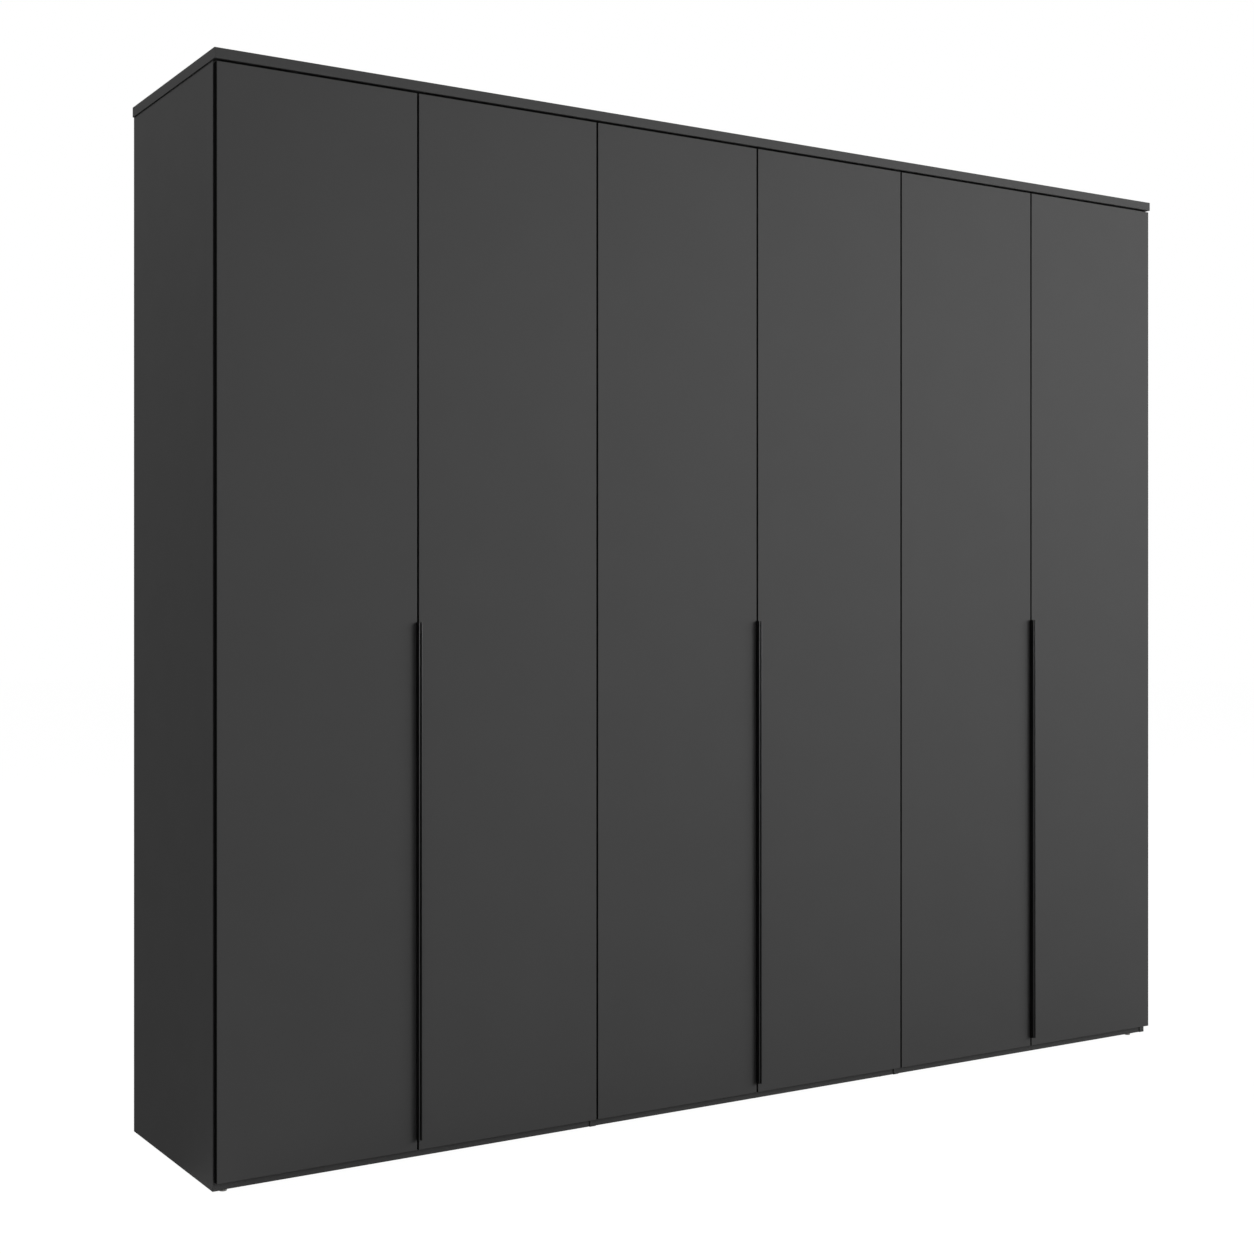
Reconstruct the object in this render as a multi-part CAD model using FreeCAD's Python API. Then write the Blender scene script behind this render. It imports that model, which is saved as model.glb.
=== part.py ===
import FreeCAD, Part
import os
from FreeCAD import Vector

# Free-standing wardrobe with six hinged doors in three bays.
# Millimetres, +Z up, the doors face -Y. The origin is on the floor, in the middle of the footprint.

# ---------------------------------------------------------------- driving sizes

# overall
overall_width = 2710.0          # cover board, end to end
overall_height = 2330.0         # floor to top of the cover board
cover_depth = 540.0             # cover board, front to back
bay_names = ("left", "middle", "right")

# boards
carcass_board = 16.0            # sides, partitions, floors, tops, plinths
cover_board = 22.0
shelf_board = 16.0
door_board = 16.0
back_board = 3.0
edge_radius = 1.0               # rounding of the edging on visible front edges

# cover board
cover_side_overhang = 3.0       # past the outer faces of the side panels
cover_front_overhang = 1.0      # past the front faces of the doors

# doors
door_side_reveal = 2.0          # side panel that shows beside the outer doors
door_gap = 4.0                  # between neighbouring doors
door_top_gap = 5.0              # below the cover board
door_back_gap = 3.0             # between door and carcass
door_floor_height = 30.0        # floor to lower edge of the doors

# plinth and feet
foot_height = 10.0              # floor to lower edge of the uprights
plinth_height = 52.0
plinth_setback = 3.0            # behind the front edges of the uprights
foot_pad_radius = 8.0
foot_pad_shoulder = 1.5         # step from the rim of the pad to its cone
foot_pad_rim = 3.0
foot_pad_neck_radius = 5.0
foot_pad_height = 7.0
foot_from_panel = 17.0          # spindle centre to the face of its upright
corner_foot_setback = 12.0      # behind the back of the plinth
hidden_foot_setback = 22.0      # the same, for the feet at the partitions
rear_foot_setback = 45.0        # in front of the rear edges of the uprights
spindle_radius = 3.0
spindle_clearance = 0.3
spindle_socket = 5.0            # spindle end inside the pad
spindle_tip = 3.0               # spindle above its bracket
bracket_width = 20.0
bracket_reach = 26.0
bracket_height = 16.0
bracket_below_floor_board = 6.0
sleeve_radius = 4.3             # round lower part of the bracket, down to its pad
sleeve_above_pad = 1.0

# back panels in grooves
back_inset = 12.0               # back panel to the rear edges of the uprights
groove_depth = 5.0
groove_clearance = 0.2

# shelves, rails and drilled rows
hat_space = 320.0               # clear height between hat shelf and top board
shelf_end_gap = 1.0
shelf_setback = 20.0            # behind the front edges of the uprights
row_pitch = 32.0
row_holes_each_way = 5
row_front_distance = 37.0
row_rear_distance = 60.0        # in front of the back panel
pin_radius = 2.5
pin_depth = 7.0
pin_reach = 8.0
pin_clearance = 0.15
rail_width = 15.0
rail_depth = 30.0
rail_wall = 1.0
rail_below_shelf = 55.0         # rail centre below the hat shelf
socket_plate = 2.5
socket_wall = 2.5
socket_collar = 12.0
socket_clearance = 0.3
socket_peg_spacing = 32.0

# cam fittings
cam_radius = 7.5
cam_depth = 12.5
cam_from_end = 34.0
cam_from_edge = 60.0
cam_slot = 2.0                  # width and depth of the cross
cam_slot_length = 10.5
bolt_radius = 3.5
bolt_in_panel = 6.5
fitting_clearance = 0.15

# wood screws, wall brackets and buffers
screw_radius = 2.0
screw_head_radius = 4.0
screw_head = 2.0
screw_length = 32.0
screw_clearance = 0.2
cover_screw_inset = 90.0
wall_bracket_leg = 40.0
wall_bracket_width = 24.0
wall_bracket_metal = 2.5
wall_hole_radius = 3.0
wall_hole_from_end = 13.0       # both holes, to the free end of their leg
short_screw_length = 14.0
buffer_radius = 4.0
buffer_thickness = 2.0
buffer_from_seam = 25.0

# edge pulls
handle_projection = 14.0        # in front of the door face
handle_metal = 2.0
handle_flange = 14.0
handle_length = 1112.0
handle_above_door_edge = 23.0
handle_fit = 0.3
handle_screw_count = 4
handle_screw_from_end = 60.0
handle_screw_from_edge = 8.4
handle_screw_radius = 1.75
handle_screw_length = 12.0
handle_screw_head_radius = 3.5
handle_screw_head = 1.0

# concealed hinges
hinge_count = 4
hinge_from_door_end = 120.0
hinge_axis_inset = 5.5          # hinge line to the edge of the door, in the plane of its front face
cup_radius = 17.5
cup_edge_distance = 5.0         # rim of the cup to the edge of the door
cup_depth = 11.5
cup_wall = 1.2
cup_clearance = 0.15
cup_flange = 1.0
cup_flange_width = 18.0
cup_peg_spacing = 45.0
cup_peg_radius = 4.0
cup_peg_depth = 9.0
link_width = 11.0
link_rim_gap = 1.8
link_reach = 8.75               # past the middle of the cup, away from the edge
cup_rim = 1.0
plate_height = 3.0
plate_width = 14.0
plate_length = 46.0
plate_from_front = 14.0
plate_peg_spacing = 32.0
plate_peg_radius = 4.0
plate_peg_depth = 7.0
plate_pad_radius = 7.5
arm_width = 12.0
arm_height = 11.0
arm_low_height = 6.0            # at the tail
arm_slope_end = 21.0            # from the front of the plate
arm_tail = 5.0
arm_tip_gap = 0.5
arm_screw_radius = 2.5
arm_screw_head = 1.2
arm_screw_places = (28.5, 41.5)     # from the front of the plate

# ---------------------------------------------------------------- planes and places that follow

total_depth = cover_depth - cover_front_overhang + handle_projection
back_y = total_depth / 2
cover_front_y = back_y - cover_depth
door_front_y = cover_front_y + cover_front_overhang
door_back_y = door_front_y + door_board
carcass_front_y = door_back_y + door_back_gap
back_panel_rear_y = back_y - back_inset
back_panel_front_y = back_panel_rear_y - back_board
plinth_front_y = carcass_front_y + plinth_setback
plinth_back_y = plinth_front_y + carcass_board

cover_bottom_z = overall_height - cover_board
door_top_z = cover_bottom_z - door_top_gap
top_board_bottom_z = cover_bottom_z - carcass_board
floor_board_bottom_z = foot_height + plinth_height
shelf_top_z = top_board_bottom_z - hat_space
shelf_bottom_z = shelf_top_z - shelf_board
pin_z = shelf_bottom_z - pin_radius
rail_z = shelf_bottom_z - rail_below_shelf
rail_y = (carcass_front_y + back_panel_front_y) / 2

door_count = 2 * len(bay_names)
carcass_half_width = overall_width / 2 - cover_side_overhang
doors_half_width = carcass_half_width - door_side_reveal
door_pitch = (2 * doors_half_width + door_gap) / door_count
door_width = door_pitch - door_gap
partition_x = [-doors_half_width + 2 * bay * door_pitch - door_gap / 2
               for bay in range(1, len(bay_names))]

# each upright as (left face, right face), each bay as (left wall, right wall)
uprights = [(-carcass_half_width, -carcass_half_width + carcass_board)]
uprights += [(x - carcass_board / 2, x + carcass_board / 2) for x in partition_x]
uprights += [(carcass_half_width - carcass_board, carcass_half_width)]
bays = [(uprights[i][1], uprights[i + 1][0]) for i in range(len(bay_names))]

hinge_span = door_top_z - door_floor_height - 2 * hinge_from_door_end
hinge_heights = [door_floor_height + hinge_from_door_end + hinge_span * i / (hinge_count - 1)
                 for i in range(hinge_count)]


# ---------------------------------------------------------------- small makers

def box(x0, x1, y0, y1, z0, z1):
    return Part.makeBox(x1 - x0, y1 - y0, z1 - z0, Vector(x0, y0, z0))


def rod(radius, start, direction, length):
    return Part.makeCylinder(radius, length, Vector(*start), Vector(*direction))


def soften_front(shape, front_y):
    """Round the edges of the face that lies in the plane y = front_y."""
    front = [edge for edge in shape.Edges
             if all(abs(vertex.Y - front_y) < 1e-6 for vertex in edge.Vertexes)]
    return shape.makeFillet(edge_radius, front)


def cut_all(shape, tools):
    return shape.cut(Part.makeCompound(tools)) if tools else shape


def oval_prism(x0, x1, y, z, width, depth):
    """An upright oval (two half rounds and two flats) drawn along X."""
    radius = width / 2
    straight = depth / 2 - radius
    corners = [Vector(x0, y - radius, z - straight), Vector(x0, y - radius, z + straight),
               Vector(x0, y + radius, z + straight), Vector(x0, y + radius, z - straight)]
    top = Part.Arc(corners[1], Vector(x0, y, z + depth / 2), corners[2]).toShape()
    bottom = Part.Arc(corners[3], Vector(x0, y, z - depth / 2), corners[0]).toShape()
    sides = [Part.makeLine(corners[0], corners[1]), Part.makeLine(corners[2], corners[3])]
    outline = Part.Wire([sides[0], top, sides[1], bottom])
    return Part.Face(outline).extrude(Vector(x1 - x0, 0, 0))


def save(name, shapes):
    shape = shapes[0] if len(shapes) == 1 else Part.makeCompound(shapes)
    shape.exportStep("parts/" + name + ".step")
    print(name, "valid" if shape.isValid() else "INVALID", len(shape.Solids), "solids")


os.makedirs("parts", exist_ok=True)

# Holes that a fitting needs in an upright are collected here and drilled at the end.
upright_holes = [[] for _ in uprights]


def walls_of_bay(bay):
    """Both walls of a bay as (upright number, x of its face, direction into the bay)."""
    return [(bay, bays[bay][0], 1), (bay + 1, bays[bay][1], -1)]


def drill_upright(number, radius, face_x, into_bay, y, z, depth):
    """A blind hole in the face of an upright, seen from the bay that the face looks into."""
    upright_holes[number].append(rod(radius, (face_x, y, z), (-into_bay, 0, 0), depth))


# ---------------------------------------------------------------- floor, top, plinth, back of each bay

def cam_places(board_front_y, board_rear_y):
    return (board_front_y + cam_from_edge, board_rear_y - cam_from_edge)


cam_housings = []
cam_bolts = []


def cam_board(bay, z0, cams_on_top):
    """A floor or top board with its cams and bolts, drilled for them."""
    x0, x1 = bays[bay]
    board = soften_front(box(x0, x1, carcass_front_y, back_panel_front_y, z0, z0 + carcass_board),
                         carcass_front_y)
    face_z = z0 + carcass_board if cams_on_top else z0
    inward = -1 if cams_on_top else 1
    bolt_z = z0 + carcass_board / 2
    cuts = []
    for number, wall_x, into_bay in walls_of_bay(bay):
        for y in cam_places(carcass_front_y, back_panel_front_y):
            cam_x = wall_x + into_bay * cam_from_end
            cuts.append(rod(cam_radius + fitting_clearance, (cam_x, y, face_z), (0, 0, inward),
                            cam_depth + fitting_clearance))
            cuts.append(rod(bolt_radius + fitting_clearance, (wall_x, y, bolt_z), (into_bay, 0, 0),
                            cam_from_end - cam_radius))
            drill_upright(number, bolt_radius + fitting_clearance, wall_x, into_bay, y, bolt_z,
                          bolt_in_panel + fitting_clearance)
            housing = rod(cam_radius, (cam_x, y, face_z), (0, 0, inward), cam_depth)
            slot_half = cam_slot_length / 2
            slot_z = sorted((face_z, face_z + inward * cam_slot))
            half = cam_slot / 2
            cross = [box(cam_x - slot_half, cam_x + slot_half, y - half, y + half, *slot_z),
                     box(cam_x - half, cam_x + half, y - slot_half, y + slot_half, *slot_z)]
            cam_housings.append(cut_all(housing, cross))
            bolt_start = wall_x - into_bay * bolt_in_panel
            bolt_length = bolt_in_panel + cam_from_end - cam_radius - fitting_clearance
            cam_bolts.append(rod(bolt_radius, (bolt_start, y, bolt_z), (into_bay, 0, 0), bolt_length))
    return cut_all(board, cuts)


def wood_screw(x, y, z, length):
    """A pan-head screw that stands upright, its head under the plane z."""
    head = rod(screw_head_radius, (x, y, z - screw_head), (0, 0, 1), screw_head)
    return head.fuse(rod(screw_radius, (x, y, z), (0, 0, 1), length))


def screw_hole(x, y, z, length):
    return rod(screw_radius + screw_clearance, (x, y, z), (0, 0, 1), length)


wood_screws = []
wall_brackets = []
cover_holes = []
door_buffers = []
bracket_bays = (0, len(bays) - 1)

for bay, name in enumerate(bay_names):
    x0, x1 = bays[bay]
    middle_x = (x0 + x1) / 2

    floor_board = cam_board(bay, floor_board_bottom_z, cams_on_top=False)
    top_board = cam_board(bay, top_board_bottom_z, cams_on_top=True)

    # screws up through the top board into the cover board
    top_holes = []
    for x in (x0 + cover_screw_inset, x1 - cover_screw_inset):
        for y in (carcass_front_y + cover_screw_inset, back_panel_front_y - cover_screw_inset):
            wood_screws.append(wood_screw(x, y, top_board_bottom_z, screw_length))
            drill = screw_hole(x, y, top_board_bottom_z, screw_length + screw_clearance)
            top_holes.append(drill)
            cover_holes.append(drill)

    back = box(x0 - groove_depth + groove_clearance, x1 + groove_depth - groove_clearance,
               back_panel_front_y, back_panel_rear_y, foot_height, cover_bottom_z)

    # angle bracket that holds the top board to the wall, through the back panel
    if bay in bracket_bays:
        bx0 = middle_x - wall_bracket_width / 2
        bx1 = middle_x + wall_bracket_width / 2
        by0 = back_panel_front_y - wall_bracket_leg
        bz0 = top_board_bottom_z - wall_bracket_leg
        plate = box(bx0, bx1, by0, back_panel_front_y,
                    top_board_bottom_z - wall_bracket_metal, top_board_bottom_z)
        upstand = box(bx0, bx1, back_panel_front_y - wall_bracket_metal, back_panel_front_y,
                      bz0, top_board_bottom_z)
        wall_hole_z = bz0 + wall_hole_from_end
        wall_hole = rod(wall_hole_radius, (middle_x, by0, wall_hole_z), (0, 1, 0),
                        wall_bracket_leg + back_inset)
        screw_y = by0 + wall_hole_from_end
        screw_z = top_board_bottom_z - wall_bracket_metal
        drill = screw_hole(middle_x, screw_y, screw_z, short_screw_length + screw_clearance)
        wall_brackets.append(plate.fuse(upstand).removeSplitter().cut(wall_hole).cut(drill))
        wood_screws.append(wood_screw(middle_x, screw_y, screw_z, short_screw_length))
        top_holes.append(drill)
        back = back.cut(wall_hole)

    plinth = soften_front(box(x0, x1, plinth_front_y, plinth_back_y, foot_height,
                              floor_board_bottom_z), plinth_front_y)

    # soft stops behind the free edges of both doors
    for z in (floor_board_bottom_z + carcass_board / 2, top_board_bottom_z + carcass_board / 2):
        for x in (middle_x - buffer_from_seam, middle_x + buffer_from_seam):
            door_buffers.append(rod(buffer_radius, (x, carcass_front_y, z), (0, -1, 0), buffer_thickness))

    save("floor_board_" + name, [floor_board])
    save("top_board_" + name, [cut_all(top_board, top_holes)])
    save("back_panel_" + name, [back])
    save("plinth_" + name, [plinth])

save("cam_housings", cam_housings)
save("cam_bolts", cam_bolts)
save("wood_screws", wood_screws)
save("wall_brackets", wall_brackets)
save("door_buffers", door_buffers)

# ---------------------------------------------------------------- hat shelves, pins, rails

row_y = (carcass_front_y + row_front_distance, back_panel_front_y - row_rear_distance)
shelf_pins = []
rail_sockets = []

for bay, name in enumerate(bay_names):
    x0, x1 = bays[bay]
    shelf_front_y = carcass_front_y + shelf_setback
    shelf = box(x0 + shelf_end_gap, x1 - shelf_end_gap, shelf_front_y,
                back_panel_front_y - shelf_end_gap, shelf_bottom_z, shelf_top_z)
    save("hat_shelf_" + name, [soften_front(shelf, shelf_front_y)])

    rail_x0 = x0 + socket_plate
    rail_x1 = x1 - socket_plate
    tube = oval_prism(rail_x0, rail_x1, rail_y, rail_z, rail_width, rail_depth)
    bore = oval_prism(rail_x0, rail_x1, rail_y, rail_z, rail_width - 2 * rail_wall,
                      rail_depth - 2 * rail_wall)
    save("clothes_rail_" + name, [tube.cut(bore)])

    for number, wall_x, into_bay in walls_of_bay(bay):
        for y in row_y:
            for step in range(-row_holes_each_way, row_holes_each_way + 1):
                drill_upright(number, pin_radius + pin_clearance, wall_x, into_bay, y,
                              pin_z + step * row_pitch, pin_depth + pin_clearance)
            pin_start = wall_x - into_bay * pin_depth
            shelf_pins.append(rod(pin_radius, (pin_start, y, pin_z), (into_bay, 0, 0),
                                  pin_depth + pin_reach))

        # socket: a plate on the upright, a collar round the rail, two pegs in the upright
        plate_x = sorted((wall_x, wall_x + into_bay * socket_plate))
        collar_x = sorted((wall_x, wall_x + into_bay * (socket_plate + socket_collar)))
        around = 2 * (socket_clearance + socket_wall)
        collar = oval_prism(*collar_x, rail_y, rail_z, rail_width + around, rail_depth + around)
        pocket_x = sorted((wall_x + into_bay * socket_plate,
                           wall_x + into_bay * (socket_plate + socket_collar)))
        pocket = oval_prism(*pocket_x, rail_y, rail_z, rail_width + 2 * socket_clearance,
                            rail_depth + 2 * socket_clearance)
        flange = oval_prism(*plate_x, rail_y, rail_z, rail_width + 2 * around,
                            rail_depth + 2 * around)
        socket = collar.fuse(flange).cut(pocket)
        for peg_z in (rail_z - socket_peg_spacing / 2, rail_z + socket_peg_spacing / 2):
            socket = socket.fuse(rod(pin_radius, (wall_x, rail_y, peg_z), (-into_bay, 0, 0), pin_depth))
            drill_upright(number, pin_radius + pin_clearance, wall_x, into_bay, rail_y, peg_z,
                          pin_depth + pin_clearance)
        rail_sockets.append(socket)

save("shelf_pins", shelf_pins)
save("rail_sockets", rail_sockets)

# ---------------------------------------------------------------- levelling feet

foot_pads = []
foot_spindles = []
foot_brackets = []
last_upright = len(uprights) - 1
bracket_top_z = floor_board_bottom_z - bracket_below_floor_board
bracket_bottom_z = bracket_top_z - bracket_height
sleeve_bottom_z = foot_pad_height + sleeve_above_pad

for number, (left_face, right_face) in enumerate(uprights):
    at_corner = number in (0, last_upright)
    # the foot stands in the bay towards the middle of the wardrobe
    into_bay = 1 if number < len(uprights) / 2 else -1
    face_x = right_face if into_bay == 1 else left_face
    x = face_x + into_bay * foot_from_panel
    front_y = plinth_back_y + (corner_foot_setback if at_corner else hidden_foot_setback)
    for y in (front_y, back_y - rear_foot_setback):
        rim = rod(foot_pad_radius, (x, y, 0), (0, 0, 1), foot_pad_rim)
        neck = Part.makeCone(foot_pad_radius - foot_pad_shoulder, foot_pad_neck_radius,
                             foot_pad_height - foot_pad_rim, Vector(x, y, foot_pad_rim), Vector(0, 0, 1))
        socket_z = foot_pad_height - spindle_socket
        socket = rod(spindle_radius, (x, y, socket_z), (0, 0, 1), spindle_socket)
        foot_pads.append(rim.fuse(neck).cut(socket))
        foot_spindles.append(rod(spindle_radius, (x, y, socket_z), (0, 0, 1),
                                 bracket_top_z + spindle_tip - socket_z))
        bracket_x = sorted((face_x, face_x + into_bay * bracket_reach))
        block = box(*bracket_x, y - bracket_width / 2, y + bracket_width / 2,
                    bracket_bottom_z, bracket_top_z)
        sleeve = rod(sleeve_radius, (x, y, sleeve_bottom_z), (0, 0, 1), bracket_bottom_z - sleeve_bottom_z)
        through = rod(spindle_radius + spindle_clearance, (x, y, sleeve_bottom_z), (0, 0, 1),
                      bracket_top_z - sleeve_bottom_z)
        foot_brackets.append(block.fuse(sleeve).cut(through))

save("foot_pads", foot_pads)
save("foot_spindles", foot_spindles)
save("foot_brackets", foot_brackets)

# ---------------------------------------------------------------- doors with pulls and hinges

hinge_plates = []
hinge_arms = []
arm_tip_y = door_back_y + cup_flange + arm_tip_gap
plate_y = carcass_front_y + plate_from_front


def hinge_plate(wall_x, into_bay, z):
    """Mounting plate on an upright, with two press-in pegs."""
    plate_x = sorted((wall_x, wall_x + into_bay * plate_height))
    plate = box(*plate_x, plate_y, plate_y + plate_length, z - plate_width / 2, z + plate_width / 2)
    peg_y = carcass_front_y + row_front_distance
    for peg_z in (z - plate_peg_spacing / 2, z + plate_peg_spacing / 2):
        pad = rod(plate_pad_radius, (wall_x, peg_y, peg_z), (into_bay, 0, 0), plate_height)
        peg = rod(plate_peg_radius, (wall_x, peg_y, peg_z), (-into_bay, 0, 0), plate_peg_depth)
        plate = plate.fuse(pad).fuse(peg)
    bridge = box(*plate_x, peg_y - plate_pad_radius, peg_y + plate_pad_radius,
                 z - plate_peg_spacing / 2, z + plate_peg_spacing / 2)
    return plate.fuse(bridge).removeSplitter()


def hinge_arm(wall_x, into_bay, z):
    """Arm clipped on its plate: low at the tail, full height over the cup."""
    low = wall_x + into_bay * plate_height
    mid = low + into_bay * arm_low_height
    high = low + into_bay * arm_height
    tail_y = plate_y + plate_length + arm_tail
    outline = [Vector(low, arm_tip_y, z), Vector(high, arm_tip_y, z), Vector(high, plate_y, z),
               Vector(mid, plate_y + arm_slope_end, z), Vector(mid, tail_y, z),
               Vector(low, tail_y, z)]
    face = Part.Face(Part.makePolygon(outline + outline[:1]))
    face.translate(Vector(0, 0, -arm_width / 2))
    arm = face.extrude(Vector(0, 0, arm_width))
    for place in arm_screw_places:
        head = rod(arm_screw_radius, (mid, plate_y + place, z), (into_bay, 0, 0), arm_screw_head)
        arm = arm.fuse(head)
    return arm


def hinge_cup(cup_x, towards_edge, z):
    """Cup, flange with two pegs, and the folded links inside the cup."""
    bottom_y = door_back_y - cup_depth
    cup = rod(cup_radius, (cup_x, bottom_y, z), (0, 1, 0), cup_depth)
    half_length = cup_peg_spacing / 2
    flange = box(cup_x - cup_flange_width / 2, cup_x + cup_flange_width / 2, door_back_y,
                 door_back_y + cup_flange, z - half_length, z + half_length)
    rim = rod(cup_radius + cup_rim, (cup_x, door_back_y, z), (0, 1, 0), cup_flange)
    hinge = cup.fuse(flange).fuse(rim)
    for peg_z in (z - half_length, z + half_length):
        pad = rod(cup_flange_width / 2, (cup_x, door_back_y, peg_z), (0, 1, 0), cup_flange)
        peg = rod(cup_peg_radius, (cup_x, door_back_y, peg_z), (0, -1, 0), cup_peg_depth)
        hinge = hinge.fuse(pad).fuse(peg)
    hollow = rod(cup_radius - cup_wall, (cup_x, bottom_y + cup_wall, z), (0, 1, 0),
                 cup_depth + cup_flange)
    link_x = sorted((cup_x - towards_edge * link_reach,
                     cup_x + towards_edge * (cup_radius - link_rim_gap)))
    links = box(*link_x, bottom_y + cup_wall / 2, door_back_y - cup_wall,
                z - link_width / 2, z + link_width / 2)
    return hinge.cut(hollow).fuse(links).removeSplitter()


for index in range(door_count):
    number = str(index + 1)
    bay = index // 2
    x0 = -doors_half_width + index * door_pitch
    x1 = x0 + door_width
    hangs_left = index % 2 == 0
    upright, wall_x, into_bay = walls_of_bay(bay)[0 if hangs_left else 1]
    hinge_edge = x0 if hangs_left else x1
    free_edge = x1 if hangs_left else x0
    towards_hinge = -into_bay

    door = soften_front(box(x0, x1, door_front_y, door_back_y, door_floor_height, door_top_z),
                        door_front_y)

    # pull: an angle let into the free edge, its blade standing in front of the door
    handle_z0 = door_floor_height + handle_above_door_edge
    handle_z1 = handle_z0 + handle_length
    inner_x = free_edge + towards_hinge * handle_metal
    blade_x = sorted((free_edge, inner_x))
    flange_x = sorted((free_edge, free_edge + towards_hinge * handle_flange))
    recess_x = sorted((free_edge - towards_hinge, inner_x + towards_hinge * handle_fit))
    recess = box(*recess_x, door_front_y - 1, door_back_y + 1,
                 handle_z0 - handle_fit, handle_z1 + handle_fit)
    blade = box(*blade_x, door_front_y - handle_projection, door_back_y + handle_metal,
                handle_z0, handle_z1)
    flange = box(*flange_x, door_back_y, door_back_y + handle_metal, handle_z0, handle_z1)
    handle = blade.fuse(flange).removeSplitter()

    screws = []
    door_cuts = [recess]
    handle_cuts = []
    screw_x = free_edge + towards_hinge * handle_screw_from_edge
    screw_span = handle_length - 2 * handle_screw_from_end
    for i in range(handle_screw_count):
        z = handle_z0 + handle_screw_from_end + screw_span * i / (handle_screw_count - 1)
        top_y = door_back_y + handle_metal
        shank = rod(handle_screw_radius, (screw_x, top_y, z), (0, -1, 0), handle_screw_length)
        head = rod(handle_screw_head_radius, (screw_x, top_y, z), (0, 1, 0), handle_screw_head)
        screws.append(shank.fuse(head))
        drill = rod(handle_screw_radius + screw_clearance, (screw_x, top_y, z), (0, -1, 0),
                    handle_screw_length + screw_clearance)
        door_cuts.append(drill)
        handle_cuts.append(drill)

    cups = []
    cup_x = hinge_edge - towards_hinge * (cup_edge_distance + cup_radius)
    for z in hinge_heights:
        cups.append(hinge_cup(cup_x, towards_hinge, z))
        door_cuts.append(rod(cup_radius + cup_clearance, (cup_x, door_back_y, z), (0, -1, 0),
                             cup_depth + cup_clearance))
        for peg_z in (z - cup_peg_spacing / 2, z + cup_peg_spacing / 2):
            door_cuts.append(rod(cup_peg_radius + cup_clearance, (cup_x, door_back_y, peg_z), (0, -1, 0),
                                 cup_peg_depth + cup_clearance))
        hinge_plates.append(hinge_plate(wall_x, into_bay, z))
        hinge_arms.append(hinge_arm(wall_x, into_bay, z))
        for peg_z in (z - plate_peg_spacing / 2, z + plate_peg_spacing / 2):
            drill_upright(upright, plate_peg_radius + pin_clearance, wall_x, into_bay,
                          carcass_front_y + row_front_distance, peg_z, plate_peg_depth + pin_clearance)

    save("door_panel_" + number, [cut_all(door, door_cuts)])
    save("handle_" + number, [cut_all(handle, handle_cuts)])
    save("handle_screws_" + number, screws)
    save("hinge_cups_" + number, cups)
    axis_x = hinge_edge - towards_hinge * hinge_axis_inset
    print("door", number, "hinge line at x", round(axis_x, 3), "y", round(door_front_y, 3))

save("hinge_plates", hinge_plates)
save("hinge_arms", hinge_arms)

# ---------------------------------------------------------------- uprights and cover board

upright_names = ["side_panel_left", "partition_left", "partition_right", "side_panel_right"]

for number, (left_face, right_face) in enumerate(uprights):
    panel = box(left_face, right_face, carcass_front_y, back_y, foot_height, cover_bottom_z)
    panel = soften_front(panel, carcass_front_y)
    grooved_faces = [(right_face, -1)] if number < last_upright else []
    grooved_faces += [(left_face, 1)] if number > 0 else []
    for face_x, into_panel in grooved_faces:
        groove_x = sorted((face_x, face_x + into_panel * groove_depth))
        upright_holes[number].append(box(*groove_x, back_panel_front_y - groove_clearance,
                                         back_panel_rear_y + groove_clearance, foot_height, cover_bottom_z))
    save(upright_names[number], [cut_all(panel, upright_holes[number])])

cover = box(-overall_width / 2, overall_width / 2, cover_front_y, back_y, cover_bottom_z, overall_height)
save("cover_board", [cut_all(soften_front(cover, cover_front_y), cover_holes)])
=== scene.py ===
import math

import bmesh
import bpy
from mathutils import Matrix, Vector


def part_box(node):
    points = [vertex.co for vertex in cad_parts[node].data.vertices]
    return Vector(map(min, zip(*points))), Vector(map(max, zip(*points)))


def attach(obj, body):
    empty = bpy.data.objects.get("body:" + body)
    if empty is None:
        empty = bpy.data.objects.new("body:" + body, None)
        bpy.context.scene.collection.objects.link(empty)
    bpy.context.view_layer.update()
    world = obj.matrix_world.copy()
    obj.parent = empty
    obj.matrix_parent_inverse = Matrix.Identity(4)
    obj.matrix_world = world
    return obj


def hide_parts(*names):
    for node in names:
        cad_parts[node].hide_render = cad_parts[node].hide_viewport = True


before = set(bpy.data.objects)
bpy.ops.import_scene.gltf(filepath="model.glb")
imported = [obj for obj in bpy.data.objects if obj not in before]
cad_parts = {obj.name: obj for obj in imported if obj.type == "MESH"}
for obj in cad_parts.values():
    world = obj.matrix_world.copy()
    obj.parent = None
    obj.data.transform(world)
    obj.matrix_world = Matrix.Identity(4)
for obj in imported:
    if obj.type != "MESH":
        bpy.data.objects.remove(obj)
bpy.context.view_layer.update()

# ------------------------------------------------------------------ uprights
# Two sides and two partitions of 16 mm chipboard. Graphite melamine outside and on the front
# edging, a dark linen print inside, raw chipboard where the rear and lower edges were sawn.

MM = 0.001
LEFT, RIGHT, BACK, UP, DOWN = (-1, 0, 0), (1, 0, 0), (0, 1, 0), (0, 0, 1), (0, 0, -1)
GRAPHITE_DARK, GRAPHITE_LIGHT = "#343434", "#383838"
LINEN_DARK, LINEN_LIGHT = "#4b4a48", "#5f5d5a"
PEARL_GRAIN = 1.6 * MM       # about 0.3 mm on the real paper, drawn coarser so that it shows
PAPER_CLOUD = 90 * MM
CHIP_SIZE = 3 * MM
LINEN_THREAD = 4 * MM        # the real print has threads of about 1 mm, too fine to be seen
WAVE_BAND = 0.314            # a wave texture at scale 1 has bands this far apart


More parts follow.
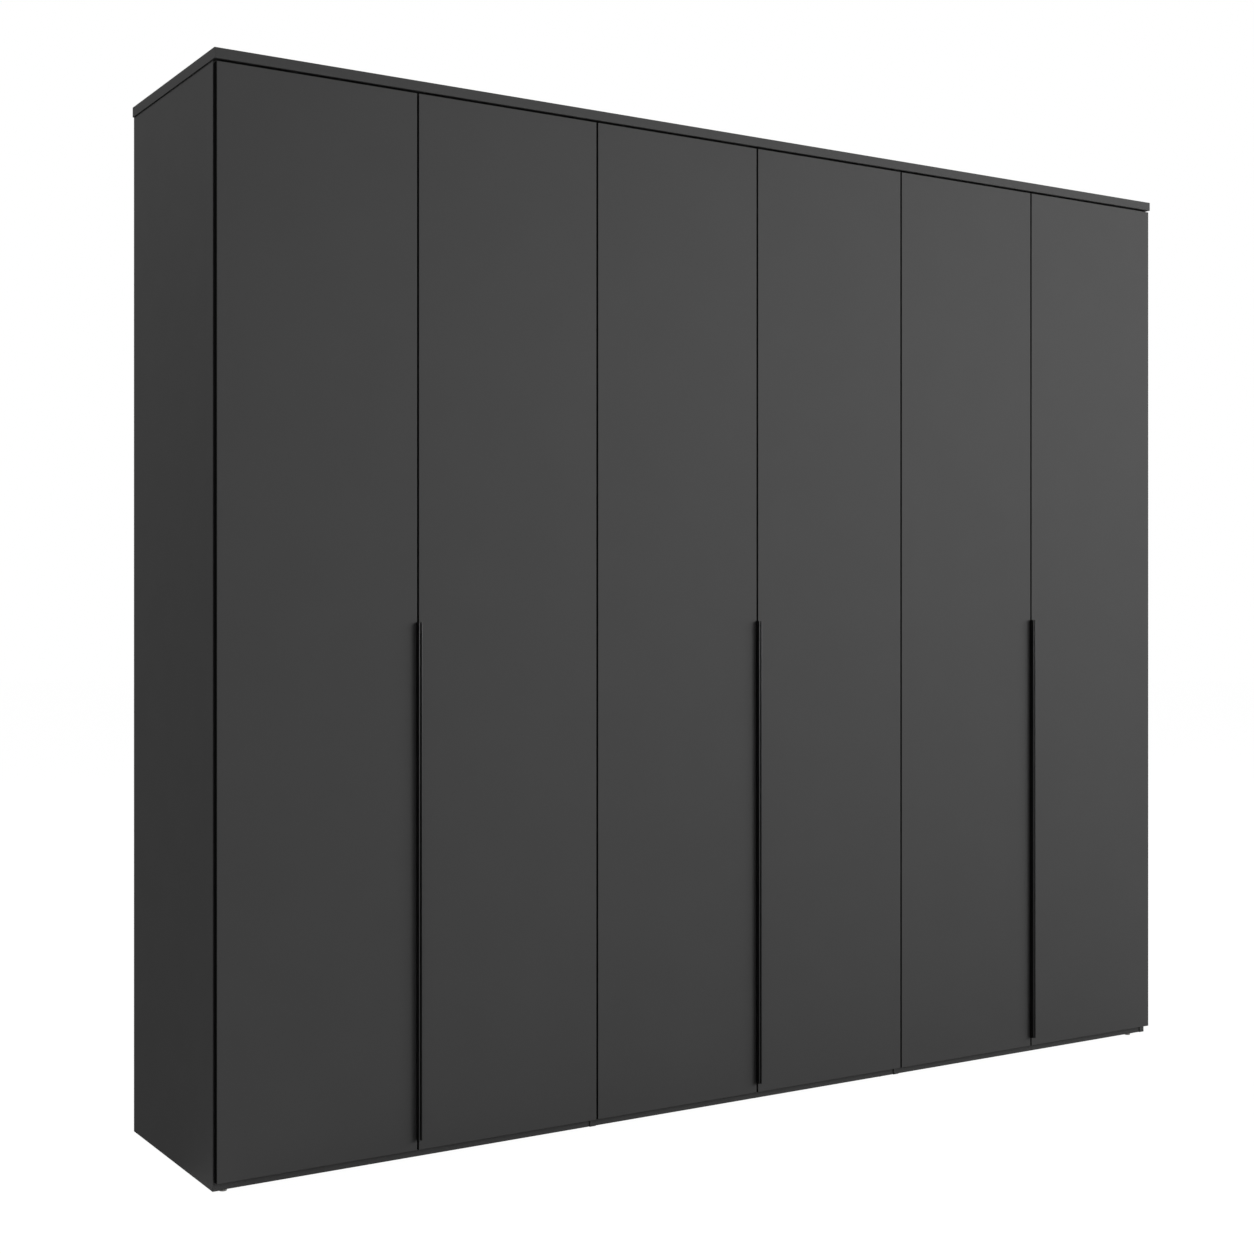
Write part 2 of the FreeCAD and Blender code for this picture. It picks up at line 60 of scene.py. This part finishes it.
def linear(hex_colour):
    """An sRGB hex colour as the linear values that a shader wants."""
    parts = [int(hex_colour[i:i + 2], 16) / 255 for i in (1, 3, 5)]
    return tuple(c / 12.92 if c <= 0.04045 else ((c + 0.055) / 1.055) ** 2.4 for c in parts) + (1.0,)


def add(tree, kind, inputs, out=0, **settings):
    """Adds a shader node and gives one of its outputs. Inputs are values, or the outputs that feed them."""
    node = tree.nodes.new(kind)
    for name, value in settings.items():
        setattr(node, name, value)
    for name, value in inputs.items():
        if isinstance(value, bpy.types.NodeSocket):
            tree.links.new(value, node.inputs[name])
        else:
            node.inputs[name].default_value = value
    return node.outputs[out] if node.outputs else None


def blank(name):
    """An empty material: (material, its tree, the object's own coordinates, its own normal)."""
    material = bpy.data.materials.new(name)
    material.use_nodes = True
    tree = material.node_tree
    tree.nodes.clear()
    place = tree.nodes.new("ShaderNodeTexCoord")
    return material, tree, place.outputs["Object"], place.outputs["Normal"]


def surfaced(material, inputs):
    """Closes a material with its surface."""
    tree = material.node_tree
    shader = add(tree, "ShaderNodeBsdfPrincipled", inputs)
    add(tree, "ShaderNodeOutputMaterial", {"Surface": shader})
    return material


def finish_with(node_names, material):
    """Gives CAD nodes their finish."""
    for name in node_names:
        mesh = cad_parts[name].data
        mesh.materials.clear()
        mesh.materials.append(material)


def layered(tree, colour, *layers):
    """A colour with others laid over it, each given as (mask, colour)."""
    for mask, over in layers:
        colour = add(tree, "ShaderNodeMix", {0: mask, 6: colour, 7: over}, 2, data_type="RGBA")
    return colour


def facing(tree, normal, directions):
    """1 where the object's own surface looks along any of the directions, else 0."""
    mask = 0.0
    for direction in directions:
        along = add(tree, "ShaderNodeVectorMath", {0: normal, 1: direction}, "Value",
                    operation="DOT_PRODUCT")
        here = add(tree, "ShaderNodeMath", {0: along, 1: 0.9}, operation="GREATER_THAN")
        mask = add(tree, "ShaderNodeMath", {0: mask, 1: here}, operation="MAXIMUM")
    return mask


def chipboard_colour(tree, here):
    """Pressed wood flakes of 3 mm in resin: every flake its own shade of tan."""
    flakes = add(tree, "ShaderNodeTexVoronoi", {"Vector": here, "Scale": 1 / CHIP_SIZE}, "Color")
    return layered(tree, linear("#8a6f4f"), (flakes, linear("#c2a67e")))


def linen_colour(tree, here, thread_axes):
    """A linen print: two crossing sets of uneven threads."""
    weave = 1.0
    for axis in thread_axes:
        threads = add(tree, "ShaderNodeTexWave",
                      {"Vector": here, "Scale": WAVE_BAND / LINEN_THREAD, "Distortion": 2.5,
                       "Detail": 2.0}, "Fac", bands_direction=axis)
        weave = add(tree, "ShaderNodeMath", {0: weave, 1: threads}, operation="MULTIPLY")
    return layered(tree, linear(LINEN_DARK), (weave, linear(LINEN_LIGHT)))


def melamine(name, linen_faces, raw_faces, thread_axes="XZ"):
    """Melamine faced chipboard: a hard satin paper whose fine pearl grain breaks up every highlight."""
    material, tree, here, normal = blank(name)
    cloud = add(tree, "ShaderNodeTexNoise", {"Vector": here, "Scale": 1 / PAPER_CLOUD})
    pearl = add(tree, "ShaderNodeTexNoise", {"Vector": here, "Scale": 1 / PEARL_GRAIN})
    return surfaced(material, {
        "Base Color": layered(tree, linear(GRAPHITE_DARK), (cloud, linear(GRAPHITE_LIGHT)),
                              (facing(tree, normal, linen_faces), linen_colour(tree, here, thread_axes)),
                              (facing(tree, normal, raw_faces), chipboard_colour(tree, here))),
        "Roughness": add(tree, "ShaderNodeMapRange", {"Value": pearl, "To Min": 0.56, "To Max": 0.64}),
        "Specular IOR Level": 0.2,
        "Normal": add(tree, "ShaderNodeBump", {"Height": pearl, "Strength": 0.06, "Distance": 0.15 * MM})})


finish_with(["side_panel_left"], melamine("melamine_left_side", [RIGHT], [BACK, DOWN], "YZ"))
finish_with(["side_panel_right"], melamine("melamine_right_side", [LEFT], [BACK, DOWN], "YZ"))
finish_with(["partition_left", "partition_right"],
            melamine("melamine_partitions", [LEFT, RIGHT], [BACK, DOWN], "YZ"))

# ------------------------------------------------------------------ floors, tops and hat shelves
# Boards of the same chipboard between the uprights. Both faces carry the linen print and the
# front edges are banded in graphite.

BAYS = ("left", "middle", "right")
finish_with([board + "_" + bay for board in ("floor_board", "top_board", "hat_shelf") for bay in BAYS],
            melamine("melamine_inner_boards", [UP, DOWN], [BACK], "XY"))

# ------------------------------------------------------------------ plinths and cover board
# Low plinths between the uprights and the 22 mm cover board screwed on from below, graphite
# on every face that shows.

finish_with(["plinth_" + bay for bay in BAYS], melamine("melamine_plinths", [], [BACK, DOWN]))
finish_with(["cover_board"], melamine("melamine_cover_board", [], [BACK]))

# ------------------------------------------------------------------ back panels
# Thin hardboard slid into grooves: printed linen inside, bare brown pressed fibre outside.

FIBRE = 2.5 * MM             # mats of fibres, each fibre being far thinner


def hardboard(name):
    """Hardboard: matted brown fibres, faintly mottled and quite dull on the bare side."""
    material, tree, here, normal = blank(name)
    fibre = add(tree, "ShaderNodeTexNoise", {"Vector": here, "Scale": 1 / FIBRE, "Detail": 4.0})
    bare = layered(tree, linear("#6d5540"), (fibre, linear("#8b7159")))
    return surfaced(material, {
        "Base Color": layered(tree, linen_colour(tree, here, "XZ"), (facing(tree, normal, [BACK]), bare)),
        "Roughness": 0.78,
        "Normal": add(tree, "ShaderNodeBump", {"Height": fibre, "Strength": 0.15, "Distance": 0.2 * MM})})


finish_with(["back_panel_" + bay for bay in BAYS], hardboard("hardboard_back"))

# ------------------------------------------------------------------ cams, bolts, screws, wall brackets
# Die-cast cams, steel bolts, wood screws and folded wall brackets, all barrel plated in zinc,
# which leaves a soft uneven bloom.


def plated_steel(name, dark, light, roughness, bloom_size):
    """Plated metal: bright, with faint clouds from the plating bath."""
    material, tree, here = blank(name)[:3]
    bloom = add(tree, "ShaderNodeTexNoise", {"Vector": here, "Scale": 1 / bloom_size, "Detail": 3.0})
    return surfaced(material, {
        "Base Color": layered(tree, linear(dark), (bloom, linear(light))),
        "Metallic": 1.0,
        "Roughness": add(tree, "ShaderNodeMapRange",
                         {"Value": bloom, "To Min": roughness - 0.05, "To Max": roughness + 0.08})})


zinc = plated_steel("zinc_plated_steel", "#a9abad", "#c9cacb", 0.35, 6 * MM)
finish_with(["cam_housings", "cam_bolts", "wood_screws", "wall_brackets"], zinc)

# ------------------------------------------------------------------ levelling feet
# A knurled grey polypropylene pad on a threaded zinc spindle, which screws into a dark moulded
# bracket on the upright.

PAD_RADIUS = 8 * MM
PAD_RIM = 3 * MM
PAD_SHOULDER = 6.5 * MM
PAD_NECK = 5 * MM
PAD_HEIGHT = 7 * MM
KNURL = 0.5 * MM
KNURL_TEETH = 24
FOOT_FROM_PANEL = 17 * MM
CORNER_FOOT_SETBACK = 12 * MM        # behind the back of the plinth
HIDDEN_FOOT_SETBACK = 22 * MM        # the same, for the feet at the partitions
ROUND_STEPS = 32
THREAD_PITCH = 1 * MM
MOULD_GRAIN = 0.8 * MM       # about 0.1 mm on the real mould, drawn coarser


def piece_from(bm, name, material, smooth_angle=40):
    """A finished piece from a bmesh, smooth where its faces meet at a shallow angle."""
    bmesh.ops.recalc_face_normals(bm, faces=bm.faces)
    mesh = bpy.data.meshes.new(name)
    bm.to_mesh(mesh)
    bm.free()
    mesh.materials.append(material)
    mesh.polygons.foreach_set("use_smooth", [True] * len(mesh.polygons))
    mesh.set_sharp_from_angle(angle=math.radians(smooth_angle))
    piece = bpy.data.objects.new(name, mesh)
    bpy.context.scene.collection.objects.link(piece)
    return piece


def skin(bm, loops):
    """Walls between neighbouring loops of equal length."""
    for lower, upper in zip(loops, loops[1:]):
        for i in range(len(lower)):
            j = (i + 1) % len(lower)
            bm.faces.new((lower[i], lower[j], upper[j], upper[i]))


def circle(radius, count, tooth=0.0):
    """Points of a circle. A tooth depth pulls every second one inwards."""
    return [((radius - tooth * (i % 2)) * math.cos(math.tau * i / count),
             (radius - tooth * (i % 2)) * math.sin(math.tau * i / count)) for i in range(count)]


def loop_at(bm, base, axis, along, points):
    """A loop of vertices across an axis, at a distance along it."""
    axis = Vector(axis)
    side = axis.orthogonal().normalized()
    other = axis.cross(side)
    return [bm.verts.new(Vector(base) + axis * along + side * a + other * b) for a, b in points]


def turned(bm, base, axis, rings):
    """A closed turned body from (distance along the axis, points across it)."""
    loops = [loop_at(bm, base, axis, along, points) for along, points in rings]
    skin(bm, loops)
    bm.faces.new(loops[0])
    bm.faces.new(loops[-1])


def moulded_plastic(name, dark, light, roughness):
    """Injection moulded plastic: even colour under a faint spark-eroded mould grain."""
    material, tree, here = blank(name)[:3]
    grain = add(tree, "ShaderNodeTexNoise", {"Vector": here, "Scale": 1 / MOULD_GRAIN})
    return surfaced(material, {
        "Base Color": layered(tree, linear(dark), (grain, linear(light))),
        "Roughness": roughness,
        "Normal": add(tree, "ShaderNodeBump", {"Height": grain, "Strength": 0.12, "Distance": 0.1 * MM})})


def threaded_zinc(name):
    """Zinc plated threads: bumped along the pitch, with the crests painted lighter as a painted highlight and
    the roots painted darker as painted shade.
    """
    material, tree, here = blank(name)[:3]
    pitch_relief_and_shade = add(tree, "ShaderNodeTexWave", {"Vector": here, "Scale": WAVE_BAND / THREAD_PITCH}, "Fac",
                 bands_direction="Z")
    return surfaced(material, {
        # painted highlight on the crests and painted shade in the roots, following the pitch
        "Base Color": layered(tree, linear("#6f7173"), (pitch_relief_and_shade, linear("#c4c6c8"))),
        "Metallic": 1.0,
        "Roughness": 0.35,
        "Normal": add(tree, "ShaderNodeBump", {"Height": pitch_relief_and_shade, "Strength": 0.6, "Distance": 0.4 * MM})})


pads_low, pads_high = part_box("foot_pads")
plinth_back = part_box("plinth_left")[1].y
corner_y = plinth_back + CORNER_FOOT_SETBACK
hidden_y = plinth_back + HIDDEN_FOOT_SETBACK
rear_y = pads_high.y - PAD_RADIUS
left_inner_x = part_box("partition_left")[1].x + FOOT_FROM_PANEL
right_inner_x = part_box("partition_right")[0].x - FOOT_FROM_PANEL
feet = [(x, y) for x in (pads_low.x + PAD_RADIUS, pads_high.x - PAD_RADIUS) for y in (corner_y, rear_y)]
feet += [(x, y) for x in (left_inner_x, right_inner_x) for y in (hidden_y, rear_y)]

bm = bmesh.new()
for x, y in feet:
    knurled = circle(PAD_RADIUS, 2 * KNURL_TEETH, KNURL)
    turned(bm, (x, y, 0), UP, [(0, knurled), (PAD_RIM, knurled)])
    turned(bm, (x, y, PAD_RIM), UP, [(0, circle(PAD_SHOULDER, ROUND_STEPS)),
                                     (PAD_HEIGHT - PAD_RIM, circle(PAD_NECK, ROUND_STEPS))])
pads = piece_from(bm, "levelling_pads", moulded_plastic("polypropylene_grey", "#959594", "#a4a4a2", 0.45))
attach(pads, "carcass")
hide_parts("foot_pads")
finish_with(["foot_spindles"], threaded_zinc("zinc_plated_thread"))
finish_with(["foot_brackets"], moulded_plastic("nylon_dark_graphite", "#29292a", "#303031", 0.5))

# ------------------------------------------------------------------ rails, sockets and shelf pins
# Oval tubes with bright chrome, held in zinc sockets; steel pins carry the hat shelves.

finish_with(["clothes_rail_" + bay for bay in BAYS],
            plated_steel("chromed_tube", "#cfd1d4", "#dcdddf", 0.12, 40 * MM))
finish_with(["rail_sockets", "shelf_pins"], zinc)

# ------------------------------------------------------------------ hinge plates and arms
# The carcass half of the concealed hinges: die-cast plates pressed into the uprights, and
# arms stamped as channels from 1.2 mm steel, clipped on and held by two cross-head screws each.

ARM_LOW = 3 * MM             # face of the upright to the underside of the arm
ARM_TOP = 14 * MM
ARM_TAIL_TOP = 9 * MM
ARM_SHEET = 1.2 * MM
ARM_HALF_WIDTH = 6 * MM
ARM_WEB_INSET = 0.2 * MM     # edge of the web to the outer faces of the cheeks
ARM_CORNER = 1 * MM
ARM_SLOPE = (15.5 * MM, 36.5 * MM)      # start and end of the slope, from the tip
ARM_SCREWS = (44 * MM, 57 * MM)         # from the tip
ARM_PINS = (4 * MM, 11 * MM)            # from the tip
ARM_PIN_HEIGHT = 9 * MM
PIN_STEPS = 16
PLATE_SCREW_SETBACK = 37 * MM
PLATE_SCREW_SPACING = 32 * MM
# every round piece as (radius, height)
ARM_PIN = (1.5 * MM, 2 * ARM_HALF_WIDTH)
ARM_SCREW = (2.5 * MM, 1.2 * MM)
PLATE_SCREW = (3.5 * MM, 0.9 * MM)
HINGE_COUNT = 4
HINGE_FROM_DOOR_END = 120 * MM


def rounded_outline(corners, radius, steps=4):
    """A closed outline whose corners are rounded by short curves. A corner may carry its own radius."""
    outline = []
    for i, corner in enumerate(corners):
        point = Vector(corner[:2])
        reach = corner[2] if len(corner) > 2 else radius
        before = (Vector(corners[i - 1][:2]) - point).normalized() * reach
        after = (Vector(corners[(i + 1) % len(corners)][:2]) - point).normalized() * reach
        for step in range(steps + 1):
            t = step / steps
            outline.append(point + (1 - t) ** 2 * before + t ** 2 * after)
    return outline


def upright_prism(bm, outline, z0, z1):
    """A solid from an outline in the XY plane."""
    loops = [[bm.verts.new((p[0], p[1], z)) for p in outline] for z in (z0, z1)]
    skin(bm, loops)
    bm.faces.new(loops[0])
    bm.faces.new(loops[1])


def cross_head(bm, base, axis, size):
    """A pan head with a cross recess, of a size given as (radius, height)."""
    radius, height = size
    long, short = 0.6 * radius, 0.15 * radius
    cross = [(short, short), (short, long), (-short, long), (-short, short), (-long, short),
             (-long, -short), (-short, -short), (-short, -long), (short, -long), (short, -short),
             (long, -short), (long, short)]
    rim = [loop_at(bm, base, axis, along, circle(r, 24))
           for along, r in ((0, radius), (0.5 * height, radius), (height, 0.82 * radius))]
    recess = [loop_at(bm, base, axis, along, cross) for along in (height, 0.3 * height)]
    skin(bm, rim)
    skin(bm, recess)
    bm.faces.new(rim[0])
    bm.faces.new(recess[1])
    top = [bm.edges.get((loop[i - 1], loop[i])) for loop in (rim[-1], recess[0]) for i in range(len(loop))]
    bmesh.ops.bridge_loops(bm, edges=top)


def arm_outlines(wall_x, into_bay, tip_y, length):
    """The cheek and the web of an arm, both seen along the hinge line."""
    top = [(ARM_TOP, 0), (ARM_TOP, ARM_SLOPE[0]), (ARM_TAIL_TOP, ARM_SLOPE[1]), (ARM_TAIL_TOP, length)]
    cheek = [(ARM_LOW, 0)] + top + [(ARM_LOW, length)]
    web = top + [(u - ARM_SHEET, y) for u, y in reversed(top)]
    cheek, web = [[(wall_x + into_bay * u, tip_y + y) for u, y in outline] for outline in (cheek, web)]
    return rounded_outline(cheek, ARM_CORNER), web


nickel = plated_steel("nickel_plated_steel", "#b3afa8", "#cfcbc4", 0.26, 8 * MM)
finish_with(["hinge_plates"], nickel)

door_low, door_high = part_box("door_panel_1")
first_hinge = door_low.z + HINGE_FROM_DOOR_END
hinge_step = (door_high.z - door_low.z - 2 * HINGE_FROM_DOOR_END) / (HINGE_COUNT - 1)
HINGE_HEIGHTS = [first_hinge + hinge_step * i for i in range(HINGE_COUNT)]
carcass_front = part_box("side_panel_left")[0].y
arms_low, arms_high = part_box("hinge_arms")
# every wall that carries hinges, as (x of its face, direction into its bay)
hinge_walls = [(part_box(name)[1].x, 1) for name in ("side_panel_left", "partition_left", "partition_right")]
hinge_walls += [(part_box(name)[0].x, -1) for name in ("partition_left", "partition_right", "side_panel_right")]

arms_bm = bmesh.new()
screws_bm = bmesh.new()
for wall_x, into_bay in hinge_walls:
    inwards = (into_bay, 0, 0)
    pin_x, tail_x, plate_x = [wall_x + into_bay * u for u in (ARM_PIN_HEIGHT, ARM_TAIL_TOP, ARM_LOW)]
    cheek, web = arm_outlines(wall_x, into_bay, arms_low.y, arms_high.y - arms_low.y)
    for z in HINGE_HEIGHTS:
        low_z, high_z = z - ARM_HALF_WIDTH, z + ARM_HALF_WIDTH
        for cheek_z in (low_z, high_z - ARM_SHEET):
            upright_prism(arms_bm, cheek, cheek_z, cheek_z + ARM_SHEET)
        upright_prism(arms_bm, web, low_z + ARM_WEB_INSET, high_z - ARM_WEB_INSET)
        for along in ARM_PINS:
            turned(arms_bm, (pin_x, arms_low.y + along, low_z), UP,
                   [(end, circle(ARM_PIN[0], PIN_STEPS)) for end in (0, ARM_PIN[1])])
        for along in ARM_SCREWS:
            cross_head(arms_bm, (tail_x, arms_low.y + along, z), inwards, ARM_SCREW)
        for side in (-1, 1):
            peg_z = z + side * PLATE_SCREW_SPACING / 2
            cross_head(screws_bm, (plate_x, carcass_front + PLATE_SCREW_SETBACK, peg_z), inwards, PLATE_SCREW)
arms = piece_from(arms_bm, "hinge_channel_arms", nickel)
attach(arms, "carcass")
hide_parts("hinge_arms")
plate_screws = piece_from(screws_bm, "hinge_plate_screws", nickel)
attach(plate_screws, "carcass")

# ------------------------------------------------------------------ doors
# Six overlay doors of 16 mm board: smooth matt graphite foil on the front, the linen print on
# the back, and black edging all round, so that every joint reads as a dark line.

FOIL_CLOUD = 140 * MM
FOIL_MICRO = 1.2 * MM        # far finer on the real foil, where it only dulls the sheen
DOORS = range(1, 7)


def door_foil(name):
    """Matt door foil: smooth and deep, with one soft wide sheen and no grain the eye can find."""
    material, tree, here, normal = blank(name)
    cloud = add(tree, "ShaderNodeTexNoise", {"Vector": here, "Scale": 1 / FOIL_CLOUD})
    micro = add(tree, "ShaderNodeTexNoise", {"Vector": here, "Scale": 1 / FOIL_MICRO})
    edging = facing(tree, normal, [LEFT, RIGHT, UP, DOWN])
    return surfaced(material, {
        "Base Color": layered(tree, linear("#353535"), (cloud, linear("#383838")),
                              (facing(tree, normal, [BACK]), linen_colour(tree, here, "XZ")),
                              (edging, linear("#0b0b0b"))),
        "Roughness": add(tree, "ShaderNodeMapRange", {"Value": micro, "To Min": 0.57, "To Max": 0.63}),
        "Specular IOR Level": add(tree, "ShaderNodeMapRange",
                                  {"Value": edging, "To Min": 0.2, "To Max": 0.0}),
        "Normal": add(tree, "ShaderNodeBump", {"Height": micro, "Strength": 0.04, "Distance": 0.1 * MM})})


finish_with(["door_panel_%d" % n for n in DOORS], door_foil("matt_foil_graphite"))

# ------------------------------------------------------------------ hinge cups
# The door half of the hinges: pressed steel cups of 35 mm let into the door, each with its
# folded link inside and two cross-head screws on its wings.

CUP_WING = 1 * MM
CUP_SCREW_SPACING = 45 * MM
CUP_SCREW = (3.2 * MM, 0.9 * MM)        # (radius, height)

finish_with(["hinge_cups_%d" % n for n in DOORS], nickel)
for number in DOORS:
    low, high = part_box("hinge_cups_%d" % number)
    cup_x = (low.x + high.x) / 2
    wing_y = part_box("door_panel_%d" % number)[1].y + CUP_WING
    bm = bmesh.new()
    for z in HINGE_HEIGHTS:
        for side in (-1, 1):
            cross_head(bm, (cup_x, wing_y, z + side * CUP_SCREW_SPACING / 2), BACK, CUP_SCREW)
    cup_screws = piece_from(bm, "hinge_cup_screws_%d" % number, nickel)
    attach(cup_screws, "door_%d" % number)

# ------------------------------------------------------------------ edge pulls
# Drawn aluminium angles, powder coated black. The blade stands 14 mm in front of the door and
# the flange is screwed to its back; every corner of the section is a little rounded.

PULL_METAL = 2 * MM
PULL_TIP_RADIUS = 0.3 * MM
PULL_CORNER_RADIUS = 0.5 * MM
PULL_SCREW_FROM_END = 60 * MM
PULL_SCREW_FROM_EDGE = 8.4 * MM
PULL_SCREW_COUNT = 4
PULL_SCREW = (3.5 * MM, 1 * MM)         # (radius, height)
ORANGE_PEEL = 0.8 * MM


def powder_coat(name):
    """Black powder coat: a satin skin with a fine orange peel."""
    material, tree, here = blank(name)[:3]
    peel = add(tree, "ShaderNodeTexNoise", {"Vector": here, "Scale": 1 / ORANGE_PEEL})
    return surfaced(material, {
        "Base Color": layered(tree, linear("#090909"), (peel, linear("#0d0d0e"))),
        "Roughness": 0.3,
        "Normal": add(tree, "ShaderNodeBump", {"Height": peel, "Strength": 0.1, "Distance": 0.1 * MM})})


coat = powder_coat("powder_coat_black")
for number in DOORS:
    low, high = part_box("handle_%d" % number)
    # doors 1, 3 and 5 close to the right, so their blade is on the right of the flange
    blade_x, flange_x, inward = (high.x, low.x, -1) if number % 2 else (low.x, high.x, 1)
    inner_x = blade_x + inward * PULL_METAL
    flange_front = high.y - PULL_METAL
    bm = bmesh.new()
    section = [(blade_x, low.y, PULL_TIP_RADIUS), (blade_x, high.y), (flange_x, high.y),
               (flange_x, flange_front), (inner_x, flange_front), (inner_x, low.y, PULL_TIP_RADIUS)]
    upright_prism(bm, rounded_outline(section, PULL_CORNER_RADIUS), low.z, high.z)
    pull = piece_from(bm, "edge_pull_%d" % number, coat)
    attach(pull, "door_%d" % number)
    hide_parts("handle_%d" % number)

    bm = bmesh.new()
    screw_x = blade_x + inward * PULL_SCREW_FROM_EDGE
    first_z = low.z + PULL_SCREW_FROM_END
    step_z = (high.z - PULL_SCREW_FROM_END - first_z) / (PULL_SCREW_COUNT - 1)
    for i in range(PULL_SCREW_COUNT):
        cross_head(bm, (screw_x, high.y, first_z + step_z * i), BACK, PULL_SCREW)
    screws = piece_from(bm, "edge_pull_screws_%d" % number, zinc)
    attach(screws, "door_%d" % number)
    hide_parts("handle_screws_%d" % number)

# ------------------------------------------------------------------ door buffers
# Small soft domes glued to the front edges of the floor and top boards, where the doors land.

finish_with(["door_buffers"], moulded_plastic("polyurethane_buffer", "#b7b7b3", "#c8c8c4", 0.3))

# ------------------------------------------------------------------ studio
# A pale floor in a plain white surround. Three large soft boxes on the right, in front and on
# the left, one behind, and a faint even fill.

KEY_WATTS = 609
FRONT_WATTS = 541
LEFT_WATTS = 375
REAR_WATTS = 260
FILL = 0.2
FLOOR_GLOW = 0.985
FLOOR_RADIUS = 28.0
FLOOR_MATT_SHARE = 0.05
SURROUND_RADIUS = 30.0
SHEET_RADIUS = 9.8
SHEET_PLACE = (6.0, -6.5, -2 * MM)
SHEET_WHITE = (0.8, 0.8, 0.8, 1.0)
WARDROBE_MIDDLE = (0.2, 0.0, 1.2)


def soft_box(name, place, aim, width, height, watts):
    """A rectangular soft box at a place, turned towards a point."""
    data = bpy.data.lights.new(name, "AREA")
    data.shape = "RECTANGLE"
    data.size = width
    data.size_y = height
    data.energy = watts
    light = bpy.data.objects.new(name, data)
    light.location = place
    light.rotation_mode = "QUATERNION"
    light.rotation_quaternion = (Vector(aim) - Vector(place)).to_track_quat("-Z", "Y")
    bpy.context.scene.collection.objects.link(light)


def white_glow(name, strength, matt_share):
    """A white that holds its own tone, with a little of the light that falls on it."""
    material, tree = blank(name)[:2]
    lit = add(tree, "ShaderNodeEmission", {"Color": linear("#ffffff"), "Strength": strength})
    matt = add(tree, "ShaderNodeBsdfDiffuse", {"Color": (matt_share, matt_share, matt_share, 1.0)})
    add(tree, "ShaderNodeOutputMaterial", {"Surface": add(tree, "ShaderNodeAddShader", {0: lit, 1: matt})})
    return material


def disc(name, radius, centre, material):
    """A flat round sheet."""
    bm = bmesh.new()
    bmesh.ops.create_circle(bm, cap_ends=True, segments=96, radius=radius,
                            matrix=Matrix.Translation(centre))
    return piece_from(bm, name, material)


def only_for_camera(thing):
    """Leaves a thing in sight, but out of the light and the reflections."""
    thing.visible_diffuse = False
    thing.visible_glossy = False
    thing.visible_transmission = False
    thing.visible_shadow = False


floor = disc("studio_floor", FLOOR_RADIUS, (0, 0, 0),
             white_glow("studio_floor_white", FLOOR_GLOW, FLOOR_MATT_SHARE))
only_for_camera(floor)
# the sheet that throws light back up at the plinth lies in front, just below the floor that shows
paper = surfaced(blank("studio_paper")[0], {"Base Color": SHEET_WHITE, "Roughness": 1.0})
bounce = disc("studio_bounce_sheet", SHEET_RADIUS, SHEET_PLACE, paper)
bounce.visible_camera = False
bm = bmesh.new()
bmesh.ops.create_uvsphere(bm, u_segments=64, v_segments=32, radius=SURROUND_RADIUS)
surround = piece_from(bm, "studio_surround", white_glow("studio_surround_white", 1.0, 0.0))
only_for_camera(surround)

world = bpy.data.worlds.new("studio_fill")
world.use_nodes = True
world.node_tree.nodes["Background"].inputs["Color"].default_value = linear("#ffffff")
world.node_tree.nodes["Background"].inputs["Strength"].default_value = FILL
bpy.context.scene.world = world

soft_box("right_soft_box", (9.0, -7.0, 3.9), WARDROBE_MIDDLE, 8.0, 5.0, KEY_WATTS)
soft_box("front_soft_box", (5.5, -9.5, 3.5), WARDROBE_MIDDLE, 5.0, 4.0, FRONT_WATTS)
soft_box("left_soft_box", (-6.5, 1.4, 6.0), (-1.3, 0.0, 1.4), 4.0, 4.0, LEFT_WATTS)
soft_box("rear_soft_box", (1.5, 7.0, 4.5), (0.0, 0.2, 1.2), 4.0, 3.0, REAR_WATTS)

# ------------------------------------------------------------------ camera
# A level camera at chest height off the front left corner, with a normal lens.

CAMERA_PLACE = (-2.6483, -3.8892, 1.1916)
CAMERA_TURN = 32.1565        # degrees to the right of straight ahead
CAMERA_LENS = 53.40
CAMERA_RISE = -0.0135        # as a share of the picture's width
CAMERA_SLIDE = -0.0007

lens = bpy.data.cameras.new("studio_camera")
lens.lens = CAMERA_LENS
lens.sensor_width = 36.0
lens.shift_x = CAMERA_SLIDE
lens.shift_y = CAMERA_RISE
lens.clip_end = 3 * SURROUND_RADIUS
camera = bpy.data.objects.new("studio_camera", lens)
camera.location = CAMERA_PLACE
camera.rotation_euler = (math.radians(90), 0, -math.radians(CAMERA_TURN))
bpy.context.scene.collection.objects.link(camera)
bpy.context.scene.camera = camera
bpy.context.scene.view_settings.view_transform = "Standard"
